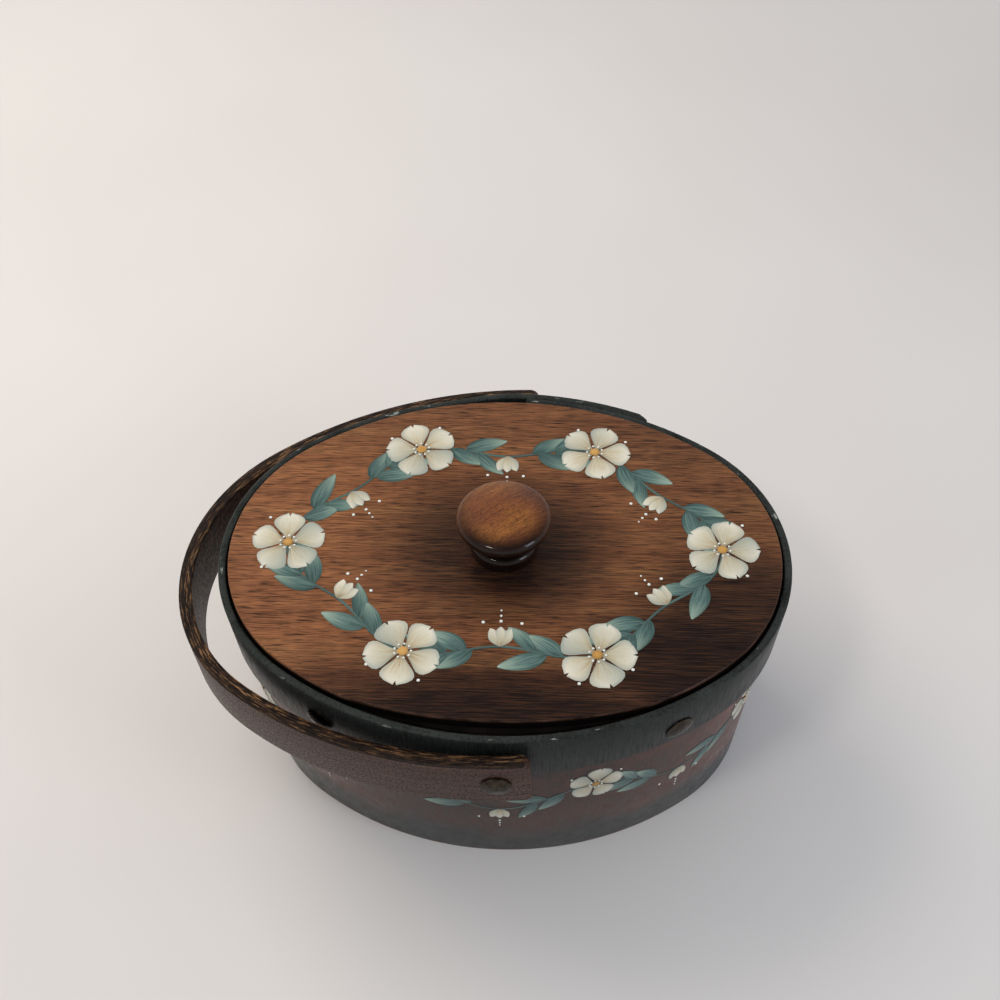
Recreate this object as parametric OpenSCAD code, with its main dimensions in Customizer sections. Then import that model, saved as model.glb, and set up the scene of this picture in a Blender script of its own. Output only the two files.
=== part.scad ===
// Oval bentwood bucket with a riveted rim hoop, a drop-in lid and a swing handle.
// The origin is on the floor under the middle of the oval: +X along its length, +Y to the lap, +Z up.

/* [Body] */
// Outside length of the hoop, end to end
body_length = 254; // [236:1:290]
// Outside depth of the hoop, front to back, beside the lap
body_depth = 194; // [180:1:220]
// Height from the floor to the hoop's top edge
body_height = 114; // [96:1:150]
// How far the sides lean in between the hoop's top edge and the floor
wall_taper = 7.6; // [2:0.2:14]
// Thickness of the bent wall
wall_thickness = 3; // [2:0.1:4.5]
// Thickness of the base board
base_thickness = 6; // [5:0.5:10]

/* [Hoop] */
// Height of the hoop
hoop_height = 29; // [27:0.5:40]
// Thickness of the hoop's bent band
hoop_thickness = 3.4; // [2.4:0.1:4.5]
// Distance from the middle of the back to the band's inner end
lap_inner_end = 8; // [0:0.5:20]
// Length over which the band's two ends overlap
lap_length = 58; // [40:1:70]
// Radius of the bend where the outer layer comes to lie on the inner one
lap_bend_radius = 80; // [60:1:100]
// Length of the bevel on the band's outer end
lap_bevel = 4; // [1:0.5:6]
// Width of the eased edges along the hoop's top
hoop_edge = 0.5; // [0.2:0.1:1]

/* [Lid] */
// Thickness of the lid board
lid_thickness = 6; // [4:0.5:10]
// How far the lid stands above the hoop's top edge
lid_rise = 2; // [0:0.5:3]
// Gap between the lid and the hoop at the two ends
lid_end_gap = 1.2; // [0.8:0.1:3]
// Gap between the lid and the hoop at the middle of the front
lid_front_gap = 5.6; // [2:0.1:6.5]
// Gap between the lid and the hoop's inner layer at the back and at the front's corners
lid_back_gap = 1.6; // [1:0.1:4]
// Radius of the lid's front edge, which is flatter than the hoop
lid_front_radius = 210; // [190:5:300]
// Width of the eased edges of the lid
lid_edge = 0.6; // [0.2:0.1:1.2]
// Thickness of the inner ledge that the lid lies on
ledge_thickness = 5; // [4.5:0.1:8]
// Height of the inner ledge
ledge_height = 8; // [5:0.5:9]

/* [Knob] */
// Diameter of the knob's head
knob_diameter = 41.5; // [34:0.5:48]
// Height of the knob above the lid
knob_height = 25.5; // [24:0.5:34]
// Height of the dome above the widest part of the head
knob_dome = 6.5; // [5.5:0.5:9]
// Radius of the head's rounded edge
knob_edge_radius = 3.5; // [3:0.25:5]
// Diameter of the round bead at the knob's foot
bead_diameter = 31; // [27:0.1:34]
// Height of the bead
bead_height = 6; // [4:0.25:7]
// Height of the plain ring under the bead
ring_height = 1.6; // [1:0.1:2.5]
// How far the ring lies inside the bead
ring_inset = 0.5; // [0.3:0.1:1.5]
// Diameter of the screw that holds the knob
screw_diameter = 4; // [3:0.1:5]
// Length of the screw under its head
screw_length = 20; // [14:0.5:22]
// Diameter of the screw's head
screw_head_diameter = 8; // [6:0.1:10]
// Thickness of the screw's head
screw_head_thickness = 2.4; // [1.5:0.1:3]

/* [Handle] */
// Width of the handle strap
strap_width = 27; // [18:0.2:30]
// Thickness of the handle strap
strap_thickness = 6.2; // [3:0.1:7.2]
// Finger gap between the hoop's end and the strap
grip_gap = 14; // [10:0.5:30]
// Gap between the hoop's side and the strap
side_gap = 2; // [1.5:0.1:4]
// How far the strap reaches past its pivot
strap_end = 14.5; // [11:0.5:18]
// Radius of the corners at the strap's ends
strap_corner = 4; // [1:0.25:6]
// Depth of the pivot below the hoop's top edge
pivot_drop = 19.5; // [17:0.5:20]
// How far below level the handle lies, in degrees
handle_tilt = 4; // [0:0.5:12]

/* [Rivets] */
// Diameter of the rivet heads
head_diameter = 12.7; // [9:0.1:14]
// Height of the rivet heads
head_height = 1.8; // [1.4:0.1:3]
// Height of the upright edge of the rivet heads
head_edge = 0.5; // [0.2:0.1:0.8]
// Diameter of the rivet shanks
shank_diameter = 4.8; // [3:0.1:6]
// Diameter of the burrs that the shanks are peened over
burr_diameter = 10; // [8:0.1:12]
// Thickness of the burrs
burr_thickness = 1.2; // [0.8:0.1:2]
// Height of the peened end above the burr
peen_height = 1; // [0.6:0.1:1.5]
// Diameter of the washers between the strap and the hoop
washer_diameter = 13; // [10:0.1:16]
// Distance of the hoop's rivets from the middle of the oval
hoop_rivet_x = 76; // [70:0.5:82]
// Depth of the hoop's rivets below its top edge
hoop_rivet_drop = 19; // [18:0.5:20]

/* [Small nails] */
// Diameter of the brads that hold the base board
brad_diameter = 1.5; // [1:0.1:2]
// Length of the brads
brad_length = 12; // [8:0.5:16]
// Depth of the brads' heads below the wall's face
brad_set = 0.4; // [0.2:0.1:0.8]
// Diameter of the tacks that hold the lap
tack_diameter = 1.6; // [1:0.1:2]
// Diameter of the tacks' heads
tack_head_diameter = 5; // [3:0.1:6]
// Thickness of the tacks' heads
tack_head_thickness = 0.8; // [0.5:0.1:1.2]
// Distance of the tacks from the band's outer end
tack_margin = 9; // [7:0.5:14]
// Height between the two tacks
tack_spacing = 14; // [8:0.5:18]

/* [Clearances] */
// Radial clearance of a shank, nail or screw in its hole
hole_clearance = 0.05; // [0.02:0.01:0.1]
// Clearance on each side of the strap at its pivots
strap_clearance = 0.3; // [0.2:0.05:0.6]
// Thickness of a glued or seated joint
seat_clearance = 0.05; // [0.02:0.01:0.1]
// Clearance between the lid and the ledge that it lies on
lid_clearance = 0.3; // [0.2:0.05:0.6]
// Depth by which the lap's outer layer is pressed into the inner one
lap_press = 0.2; // [0.1:0.05:0.4]

/* [Hidden] */
$fn = 128;

stained_wood = "#7a4a2c";
painted_wood = "#4a5450";
mottled_wood = "#5d3a2e";
handle_wood = "#4b2f24";
inner_wood = "#a5794e";
bronze = "#5a4a36";
leather = "#6b4a30";

// An oval is [half length, half depth, shift to the back]: four tangent arcs whose centres lie on
// triangles of 3, 4 and 5 units, so that the end and side arcs meet where the slope is 4 in 3.
body_oval = [body_length / 2, body_depth / 2, 0];
lid_oval = [
    body_length / 2 - hoop_thickness - lid_end_gap,
    body_depth / 2 - hoop_thickness - lid_back_gap,
    0
];
strap_oval = [
    body_length / 2 + grip_gap + strap_thickness,
    body_depth / 2 + hoop_thickness / 2 + side_gap + strap_thickness,
    hoop_thickness / 2
];

// Lengths along an arc's radius are whole thousandths, so that neighbouring arcs meet exactly.
function whole(length) = round(1000 * length) / 1000;
function unit(oval) = whole((oval[0] - oval[1]) / 2);

function end_centre(oval) = 3 * unit(oval);
function side_drop(oval) = 4 * unit(oval);
function centre_gap(oval) = 5 * unit(oval);
function end_radius(oval) = oval[0] - end_centre(oval);
function side_radius(oval) = end_radius(oval) + centre_gap(oval);
join_angle = atan2(4, 3);

// How far the sides have come in at a height, and their slope in degrees
function lean(z) = wall_taper * (body_height - z) / body_height;
lean_angle = atan2(wall_taper, body_height);

// How far a curve of a radius falls away across a half width
function sagitta(half_width, radius) = half_width * half_width / (2 * radius);

wall_outer = hoop_thickness;
wall_inner = wall_outer + wall_thickness;
fit_inner = wall_inner + seat_clearance;
lid_top = body_height + lid_rise;
lid_bottom = lid_top - lid_thickness;
wall_top = lid_bottom - lid_clearance;
hoop_bottom = body_height - hoop_height;
pivot_z = body_height - pivot_drop;
hoop_rivet_z = body_height - hoop_rivet_drop;
hole_diameter = shank_diameter + 2 * hole_clearance;

back_drop = side_drop(body_oval);
back_radius = side_radius(body_oval);

// The lap: the band leaves the wall along a tangent, bends, and lies on its own inner end.
// The free stretch is shaved a little thinner on both faces, and it starts inside the band.
lap_shave = 0.05;
lap_root = 2;
bend_x = sqrt(pow(hoop_thickness, 2) + 2 * hoop_thickness * (back_radius - lap_bend_radius));
bend_angle = atan2(bend_x, back_radius - lap_bend_radius);
lap_inner_angle = asin(lap_inner_end / back_radius);
lap_outer_angle = asin((lap_inner_end + lap_length) / back_radius);
ramp_angle = lap_inner_angle - bend_angle;

// A quarter of an oval: one section, a loop of [inset, height] points, is turned about the side's centre
// and about the end's, both ways from the plane where the two arcs join. A board's section runs in to the
// centre. The arcs run past the quarter by a few degrees and are cut back to it.
overrun = 2;

module oval_quarter(oval, section, board) {
    gap = centre_gap(oval);
    far = 4 * oval[0];
    intersection() {
        translate([0, -side_drop(oval), 0])
            rotate([0, 0, join_angle]) {
                turned_section(oval, gap, 90 + overrun - join_angle, section, board);
                translate([gap, 0, 0])
                    turned_section(oval, 0, -join_angle - overrun, section, board);
            }
        translate([0, 0, -far])
            cube([far, far, 2 * far]);
    }
}

module turned_section(oval, gap, sweep, section, board) {
    high = section[len(section) - 1][1];
    outline = [for (p = section) [gap + whole(end_radius(oval) - p[0]), p[1]]];
    rotate_extrude(angle = sweep)
        polygon(board ? concat(outline, [[0, high], [0, section[0][1]]]) : outline);
}

module oval_ring(oval, section, board = false) {
    translate([0, oval[2], 0])
        for (hand = [0, 1])
            for (side = [0, 1])
                mirror([hand, 0, 0])
                    mirror([0, side, 0])
                        oval_quarter(oval, section, board);
}

// The section of a leaning band between two insets and two heights
function leaning_section(outer, inner, low, high) = [
    [outer + lean(low), low],
    [outer + lean(high), high],
    [inner + lean(high), high],
    [inner + lean(low), low]
];

function hoop_section(outer, inner) = [
    [outer + lean(hoop_bottom), hoop_bottom],
    [outer + lean(body_height - hoop_edge), body_height - hoop_edge],
    [outer + hoop_edge, body_height],
    [inner - hoop_edge, body_height],
    [inner + lean(body_height - hoop_edge), body_height - hoop_edge],
    [inner + lean(hoop_bottom), hoop_bottom]
];

// One stretch of a band: a section turned about its own centre, clockwise from a start angle
module arc_band(radius, start, sweep, section) {
    rotate([0, 0, start])
        rotate_extrude(angle = -sweep)
            polygon([for (p = section) [radius - p[0], p[1]]]);
}

// Puts a fastener on the hoop's face, pointing outwards: side 0 is the front, hand -1 the left
module on_hoop(side, hand, x, z, depth_step = 0) {
    radius = side_radius(body_oval);
    mirror([0, 1 - side, 0])
        translate([0, -side_drop(body_oval), 0])
            rotate([0, 0, 90 - hand * asin(x / radius)])
                translate([radius + depth_step - lean(z), 0, z])
                    rotate([0, 90 + lean_angle, 0])
                        children();
}

module rivet_head() {
    rise = head_height - head_edge;
    dome_radius = (pow(head_diameter / 2, 2) + rise * rise) / (2 * rise);
    cylinder(d = head_diameter, h = head_edge);
    translate([0, 0, head_edge])
        rotate_extrude()
            intersection() {
                translate([0, rise - dome_radius])
                    circle(r = dome_radius);
                square([head_diameter / 2, rise]);
            }
}

// A rivet whose head sits at height 0 and whose shank runs down through a burr
module rivet(grip) {
    length = grip + burr_thickness + peen_height;
    peen_diameter = (shank_diameter + burr_diameter) / 2;
    rivet_head();
    translate([0, 0, -length])
        cylinder(d = shank_diameter, h = length);
    translate([0, 0, -length])
        cylinder(d1 = shank_diameter, d2 = peen_diameter, h = peen_height - seat_clearance);
}

module burr(grip) {
    translate([0, 0, -grip - burr_thickness])
        difference() {
            cylinder(d = burr_diameter, h = burr_thickness);
            translate([0, 0, -burr_thickness])
                cylinder(d = hole_diameter, h = 3 * burr_thickness);
        }
}

// The hoop's rivets hold the band and the wall together, with a burr on the wall's inner face.
burr_sagitta = sagitta(burr_diameter / 2, side_radius(body_oval) - wall_inner);
hoop_grip = wall_inner * cos(lean_angle) + burr_sagitta + seat_clearance;

module hoop_rivet(side, hand) {
    color(bronze)
        on_hoop(side, hand, hoop_rivet_x, hoop_rivet_z)
            translate([0, 0, seat_clearance])
                rivet(hoop_grip + seat_clearance);
}

module hoop_burr(side, hand) {
    color(bronze)
        on_hoop(side, hand, hoop_rivet_x, hoop_rivet_z)
            burr(hoop_grip);
}

module hoop_rivet_holes(reach) {
    for (side = [0, 1])
        for (hand = [-1, 1])
            on_hoop(side, hand, hoop_rivet_x, hoop_rivet_z)
                translate([0, 0, -reach])
                    cylinder(d = hole_diameter, h = 2 * reach);
}

// The pivots lie across the bucket, and the strap swings on their shanks between washer and head.
// Distances are measured outwards from the long axis: side 0 is the front, and the lap lies at the back.
function strap_outer_y(side) = strap_oval[1] + (2 * side - 1) * strap_oval[2];
function pivot_head_y(side) = strap_outer_y(side) + strap_clearance;
function washer_outer_y(side) = strap_outer_y(side) - strap_thickness - strap_clearance
    - sagitta(washer_diameter / 2, side_radius(strap_oval) - strap_thickness);
function washer_inner_y(side) = body_oval[1] + side * hoop_thickness
    - lean(pivot_z + washer_diameter / 2) + seat_clearance;
burr_face_y = body_oval[1] - wall_inner - lean(pivot_z - burr_diameter / 2) - burr_sagitta - seat_clearance;

module on_pivot(side, y) {
    mirror([0, 1 - side, 0])
        translate([0, y, pivot_z])
            rotate([-90, 0, 0])
                children();
}

module pivot_rivet(side) {
    color(bronze)
        on_pivot(side, pivot_head_y(side))
            rivet(pivot_head_y(side) - burr_face_y);
}

module pivot_burr(side) {
    color(bronze)
        on_pivot(side, burr_face_y)
            burr(0);
}

module pivot_washer(side) {
    color(leather)
        on_pivot(side, washer_inner_y(side))
            difference() {
                cylinder(d = washer_diameter, h = washer_outer_y(side) - washer_inner_y(side));
                translate([0, 0, -washer_diameter])
                    cylinder(d = hole_diameter, h = 2 * washer_diameter);
            }
}

module pivot_hole() {
    translate([0, 0, pivot_z])
        rotate([90, 0, 0])
            cylinder(d = hole_diameter, h = 4 * strap_oval[1], center = true);
}

// Brads in a ring round the base board, set below the wall's face
brad_z = base_thickness / 2;
brad_start = wall_outer + lean(brad_z) + brad_set;
brad_end_turns = [-48, -16, 16, 48];
brad_side_turns = [-13, 13];

module brad_ring() {
    for (turn = brad_end_turns)
        for (hand = [0, 1])
            mirror([hand, 0, 0])
                translate([end_centre(body_oval), 0, brad_z])
                    rotate([0, 0, turn])
                        translate([end_radius(body_oval), 0, 0])
                            rotate([0, -90, 0])
                                children();
    for (side = [0, 1])
        for (turn = brad_side_turns)
            mirror([0, 1 - side, 0])
                translate([0, -side_drop(body_oval), brad_z])
                    rotate([0, 0, 90 + turn])
                        translate([side_radius(body_oval), 0, 0])
                            rotate([0, -90, 0])
                                children();
}

module brad_holes() {
    brad_ring()
        cylinder(d = brad_diameter + 2 * hole_clearance, h = brad_start + brad_length + seat_clearance);
}

module base_brads() {
    color(bronze)
        brad_ring()
            translate([0, 0, brad_start])
                cylinder(d = brad_diameter, h = brad_length);
}

module base_board() {
    color(inner_wood)
        difference() {
            oval_ring(body_oval, [
                [fit_inner + lean(0), 0],
                [fit_inner + lean(base_thickness), base_thickness]
            ], true);
            brad_holes();
        }
}

module body_wall() {
    color(mottled_wood)
        difference() {
            oval_ring(body_oval, leaning_section(wall_outer, wall_inner, 0, wall_top));
            hoop_rivet_holes(2 * wall_inner);
            pivot_hole();
            brad_holes();
            lap_tack_holes();
        }
}

// The ledge's lower inner edge is cut back at 45 degrees.
module lid_ledge() {
    low = wall_top - ledge_height;
    bevel = ledge_thickness / 2;
    inner = fit_inner + ledge_thickness;
    color(inner_wood)
        oval_ring(body_oval, [
            [fit_inner + lean(low), low],
            [fit_inner + lean(wall_top), wall_top],
            [inner + lean(wall_top), wall_top],
            [inner + lean(low + bevel), low + bevel],
            [inner - bevel + lean(low), low]
        ]);
}

// The outer layer of the lap, in a frame whose +Y points at the start of the ramp
module lap_layer() {
    shaved = hoop_section(lap_shave, hoop_thickness - lap_shave);
    end_angle = lap_outer_angle - ramp_angle;
    start_angle = bend_angle - atan2(lap_root / 2, back_radius);
    translate([0, back_radius - lap_bend_radius, 0]) {
        translate([-lap_root, 0, 0])
            rotate([90, 0, 90])
                linear_extrude(height = lap_root + bend_x)
                    polygon([for (p = shaved) [lap_bend_radius - p[0], p[1]]]);
        translate([bend_x, 0, 0])
            arc_band(lap_bend_radius, 90, bend_angle + atan2(lap_root, lap_bend_radius), shaved);
    }
    difference() {
        arc_band(back_radius + hoop_thickness, 90 - start_angle, end_angle - start_angle,
            hoop_section(0, hoop_thickness + lap_press));
        rotate([0, 0, -end_angle])
            translate([-lap_bevel, back_radius + hoop_thickness, hoop_bottom])
                rotate([0, 0, -atan2(hoop_thickness, lap_bevel)])
                    translate([-lap_bevel, 0, -hoop_height])
                        cube([4 * lap_bevel, 2 * hoop_thickness, 3 * hoop_height]);
    }
}

// The band stays open at the back from the start of the ramp to its inner end.
module rim_hoop() {
    color(painted_wood)
        difference() {
            union() {
                difference() {
                    oval_ring(body_oval, hoop_section(0, hoop_thickness));
                    translate([0, -back_drop, 0])
                        rotate([0, 0, 90 - lap_inner_angle])
                            rotate_extrude(angle = bend_angle)
                                square([back_radius + hoop_thickness, 2 * body_height]);
                }
                translate([0, -back_drop, 0])
                    rotate([0, 0, -ramp_angle])
                        lap_layer();
            }
            hoop_rivet_holes(2 * wall_inner);
            pivot_hole();
            lap_tack_holes();
        }
}

// Two tacks through both layers of the lap into the wall
tack_x = lap_inner_end + lap_length - tack_margin;
tack_grip = 2 * hoop_thickness + wall_thickness;

module on_lap_tacks() {
    for (step = [-1, 1])
        on_hoop(1, 1, tack_x, body_height - hoop_height / 2 + step * tack_spacing / 2, hoop_thickness)
            children();
}

module lap_tack_holes() {
    on_lap_tacks()
        translate([0, 0, -tack_grip])
            cylinder(d = tack_diameter + 2 * hole_clearance, h = 2 * tack_grip);
}

module lap_tacks() {
    color(bronze)
        on_lap_tacks() {
            translate([0, 0, seat_clearance])
                cylinder(d = tack_head_diameter, h = tack_head_thickness);
            translate([0, 0, seat_clearance - tack_grip])
                cylinder(d = tack_diameter, h = tack_grip + tack_head_thickness / 2);
        }
}

// The strap's outline seen from the side, with rounded corners past the pivot
module strap_outline() {
    half = strap_width / 2;
    length = 2 * strap_oval[0];
    translate([strap_end - strap_corner - length, -half])
        square([length, strap_width]);
    translate([strap_end - length, strap_corner - half])
        square([length, strap_width - 2 * strap_corner]);
    for (step = [-1, 1])
        translate([strap_end - strap_corner, step * (half - strap_corner)])
            circle(r = strap_corner);
}

// The strap lies to the left of the bucket, from the front pivot round to the back one.
module handle_strap() {
    far = strap_width;
    inner = strap_thickness;
    color(handle_wood)
        difference() {
            translate([0, 0, pivot_z])
                rotate([0, -handle_tilt, 0])
                    intersection() {
                        oval_ring(strap_oval, [[0, -far], [0, far], [inner, far], [inner, -far]]);
                        rotate([90, 0, 0])
                            linear_extrude(height = 4 * strap_oval[1], center = true)
                                strap_outline();
                    }
            pivot_hole();
        }
}

// The lid's front edge is trimmed by a wide disc, whose eased edges run on past the board's faces.
lid_front_y = lid_front_gap + hoop_thickness - body_depth / 2;
knob_y = (lid_front_y + lid_oval[1]) / 2;

module lid_trim() {
    inner = lid_front_radius - 2 * lid_edge;
    translate([0, lid_front_y + lid_front_radius, 0])
        rotate_extrude()
            polygon([
                [0, lid_bottom - lid_edge],
                [inner, lid_bottom - lid_edge],
                [lid_front_radius, lid_bottom + lid_edge],
                [lid_front_radius, lid_top - lid_edge],
                [inner, lid_top + lid_edge],
                [0, lid_top + lid_edge]
            ]);
}

module lid_board() {
    color(stained_wood)
        difference() {
            intersection() {
                oval_ring(lid_oval, [
                    [lid_edge, lid_bottom],
                    [0, lid_bottom + lid_edge],
                    [0, lid_top - lid_edge],
                    [lid_edge, lid_top]
                ], true);
                lid_trim();
            }
            translate([0, knob_y, lid_bottom - lid_thickness])
                cylinder(d = screw_diameter + 2 * hole_clearance, h = 3 * lid_thickness);
        }
}

// The knob's outline: a flat dome with a round edge, on a neck hollowed by one round cove above the bead
head_radius = knob_diameter / 2;
head_edge_x = head_radius - knob_edge_radius;
head_z = knob_height - knob_dome;
dome_rise = knob_dome - knob_edge_radius;
dome_offset = (pow(head_edge_x, 2) - pow(dome_rise, 2)) / (2 * dome_rise);
dome_radius = knob_dome + dome_offset;
underside_z = head_z - knob_edge_radius;
bead_radius = bead_height / 2;
bead_centre = bead_diameter / 2 - bead_radius;
bead_top = ring_height + bead_height;
cove_radius = (underside_z - bead_top) / 2;

module knob_outline() {
    far = 2 * knob_height;
    intersection() {
        translate([0, head_z - dome_offset])
            circle(r = dome_radius);
        polygon([[0, underside_z], [head_edge_x, underside_z], [head_edge_x, head_z],
            [head_edge_x + far * head_edge_x / dome_offset, head_z + far], [0, head_z + far]]);
    }
    translate([head_edge_x, head_z])
        circle(r = knob_edge_radius);
    square([bead_diameter / 2 - ring_inset, ring_height + bead_radius]);
    translate([bead_centre, ring_height + bead_radius])
        circle(r = bead_radius);
    difference() {
        square([bead_centre, underside_z]);
        translate([bead_centre, bead_top + cove_radius])
            circle(r = cove_radius);
    }
}

module lid_knob() {
    bore_depth = screw_length - lid_thickness + seat_clearance;
    color(stained_wood)
        translate([0, knob_y, lid_top + seat_clearance])
            difference() {
                rotate_extrude()
                    intersection() {
                        knob_outline();
                        square([head_radius, knob_height]);
                    }
                translate([0, 0, -bore_depth])
                    cylinder(d = screw_diameter + 2 * hole_clearance, h = 2 * bore_depth);
            }
}

module knob_screw() {
    color(bronze)
        translate([0, knob_y, lid_bottom - seat_clearance]) {
            cylinder(d = screw_diameter, h = screw_length);
            translate([0, 0, -screw_head_thickness])
                cylinder(d1 = screw_diameter, d2 = screw_head_diameter, h = screw_head_thickness);
        }
}

base_board();
base_brads();
body_wall();
lid_ledge();
rim_hoop();
lap_tacks();
hoop_rivet(0, -1);  // hoop_rivet_front_left
hoop_rivet(0, 1);  // hoop_rivet_front_right
hoop_rivet(1, -1);  // hoop_rivet_back_left
hoop_rivet(1, 1);  // hoop_rivet_back_right
hoop_burr(0, -1);  // hoop_burr_front_left
hoop_burr(0, 1);  // hoop_burr_front_right
hoop_burr(1, -1);  // hoop_burr_back_left
hoop_burr(1, 1);  // hoop_burr_back_right
pivot_rivet(0);  // pivot_rivet_front
pivot_rivet(1);  // pivot_rivet_back
pivot_burr(0);  // pivot_burr_front
pivot_burr(1);  // pivot_burr_back
pivot_washer(0);  // pivot_washer_front
pivot_washer(1);  // pivot_washer_back
handle_strap();
lid_board();
lid_knob();
knob_screw();
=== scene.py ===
import math
import random

import bmesh
import bpy
from mathutils import Matrix, Vector


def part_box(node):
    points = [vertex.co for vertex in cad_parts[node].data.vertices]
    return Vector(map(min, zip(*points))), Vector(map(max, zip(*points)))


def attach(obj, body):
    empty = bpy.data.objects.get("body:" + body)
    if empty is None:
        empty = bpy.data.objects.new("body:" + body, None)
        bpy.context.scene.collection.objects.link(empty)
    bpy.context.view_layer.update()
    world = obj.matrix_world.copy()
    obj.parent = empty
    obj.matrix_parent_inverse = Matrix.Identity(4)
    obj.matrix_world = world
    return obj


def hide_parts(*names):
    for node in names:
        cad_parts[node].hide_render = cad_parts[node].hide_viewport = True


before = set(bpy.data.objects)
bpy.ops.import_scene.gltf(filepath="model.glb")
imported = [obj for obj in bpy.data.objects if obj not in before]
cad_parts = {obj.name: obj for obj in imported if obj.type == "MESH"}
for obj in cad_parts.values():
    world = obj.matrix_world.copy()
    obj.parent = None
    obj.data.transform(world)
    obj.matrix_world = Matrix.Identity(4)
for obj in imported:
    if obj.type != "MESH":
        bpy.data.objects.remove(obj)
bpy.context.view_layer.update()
mm = 0.001
mergeDistance = 1e-6
sharpAngle = math.radians(32)
draws = random.Random(7)

scene = bpy.context.scene
scene.view_settings.view_transform = "Standard"


def linear(hexColour):
    # an sRGB hex value as a linear colour
    parts = [int(hexColour[i:i + 2], 16) / 255 for i in (1, 3, 5)]
    return [c / 12.92 if c <= 0.04045 else ((c + 0.055) / 1.055) ** 2.4 for c in parts] + [1.0]


def addNode(tree, kind, settings={}, links={}):
    # one node with its own fields, and its sockets as values or as links from other nodes
    node = tree.nodes.new("ShaderNode" + kind)
    for field, value in settings.items():
        if field == "stops":
            elements = node.color_ramp.elements
            for i, (place, colour) in enumerate(value):
                stop = elements[i] if i < len(elements) else elements.new(place)
                stop.position = place
                stop.color = linear(colour)
        else:
            setattr(node, field, value)
    for name, value in links.items():
        if isinstance(value, bpy.types.Node):
            value = value.outputs[0]
        if isinstance(value, bpy.types.NodeSocket):
            tree.links.new(value, node.inputs[name])
        else:
            node.inputs[name].default_value = value
    return node


def newMaterial(name):
    material = bpy.data.materials.new(name)
    material.use_nodes = True
    material.node_tree.nodes.clear()
    return material, material.node_tree


def dressSurface(tree, links):
    # the shader with its sockets, joined to the output
    shader = addNode(tree, "BsdfPrincipled", {}, links)
    addNode(tree, "OutputMaterial", {}, {"Surface": shader})


def patternSpace(tree, source, sizes, shift=(0, 0, 0), turn=(0, 0, 0)):
    # coordinates in which one unit is the pattern's real size, in mm, along each axis
    if source == "object":
        start = addNode(tree, "TexCoord").outputs["Object"]
    else:
        start = addNode(tree, "Attribute", {"attribute_name": source}).outputs["Vector"]
    return addNode(tree, "Mapping", {"vector_type": "TEXTURE"}, {
        "Vector": start,
        "Location": [-s * mm for s in shift],
        "Rotation": [math.radians(t) for t in turn],
        "Scale": [size * mm for size in sizes],
    })


def grain(tree, source, sizes, detail, low, high, strength=1.0, shift=(0, 0, 0), turn=(0, 0, 0)):
    # stretched noise with its contrast raised, from 0 to its strength
    space = patternSpace(tree, source, sizes, shift, turn)
    soft = addNode(tree, "TexNoise", {}, {"Vector": space, "Scale": 1.0, "Detail": detail})
    return addNode(tree, "MapRange", {}, {
        "Value": soft, "From Min": low, "From Max": high, "To Max": strength})


def stainLayers(tree, base, layers):
    # colours laid over a base one after another, each through its own mask
    for mask, colour in layers:
        colour = linear(colour) if isinstance(colour, str) else colour
        base = addNode(tree, "Mix", {"data_type": "RGBA"}, {0: mask, 6: base, 7: colour}).outputs[2]
    return base


# The ovals, read from the frame: four tangent arcs whose centres lie on triangles of 3, 4 and 5 units
hoopLow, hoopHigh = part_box("rim_hoop")
_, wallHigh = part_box("body_wall")
lidLow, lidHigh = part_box("lid_board")
strapLow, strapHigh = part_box("handle_strap")
knobLow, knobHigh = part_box("lid_knob")
pivotLow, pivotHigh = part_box("pivot_rivet_front")

bodyOval = {"halfLength": hoopHigh.x, "halfDepth": -hoopLow.y, "shift": 0.0}
bodyHeight = hoopHigh.z


def ovalArcs(oval):
    # centre, radius, start angle and turn of each arc, clockwise from the middle of the back
    unit = (oval["halfLength"] - oval["halfDepth"]) / 2
    corner = math.atan2(4, 3)
    side = math.pi / 2 - corner
    endRadius = oval["halfLength"] - 3 * unit
    sideRadius = endRadius + 5 * unit
    return [
        (0, -4 * unit, sideRadius, math.pi / 2, side),
        (3 * unit, 0, endRadius, corner, 2 * corner),
        (0, 4 * unit, sideRadius, -corner, 2 * side),
        (-3 * unit, 0, endRadius, corner - math.pi, 2 * corner),
        (0, -4 * unit, sideRadius, -math.pi - corner, side),
    ]


def ovalLength(oval):
    return sum(radius * turn for _, _, radius, _, turn in ovalArcs(oval))


def onOval(oval, along, out):
    # the point at a length along the oval's line and a distance outside it, and the way outwards
    along = along % ovalLength(oval)
    for x, y, radius, start, turn in ovalArcs(oval):
        if along <= radius * turn:
            break
        along -= radius * turn
    angle = start - along / radius
    reach = radius + out
    return Vector((x + reach * math.cos(angle), y + reach * math.sin(angle) + oval["shift"], 0)), angle


def bendRound(bm, oval, lean=0.0, lift=None):
    # bends a flat piece, drawn with x along, y outwards and z up, and keeps its flat place for the grain
    flat = bm.verts.layers.float_vector.new("flat")
    for vert in bm.verts:
        along, out, height = vert.co
        vert[flat] = vert.co
        out -= lean * (bodyHeight - height)
        if lift is not None:
            out += lift(along)
        point, _ = onOval(oval, along, out)
        vert.co = (point.x, point.y, height)


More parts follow.
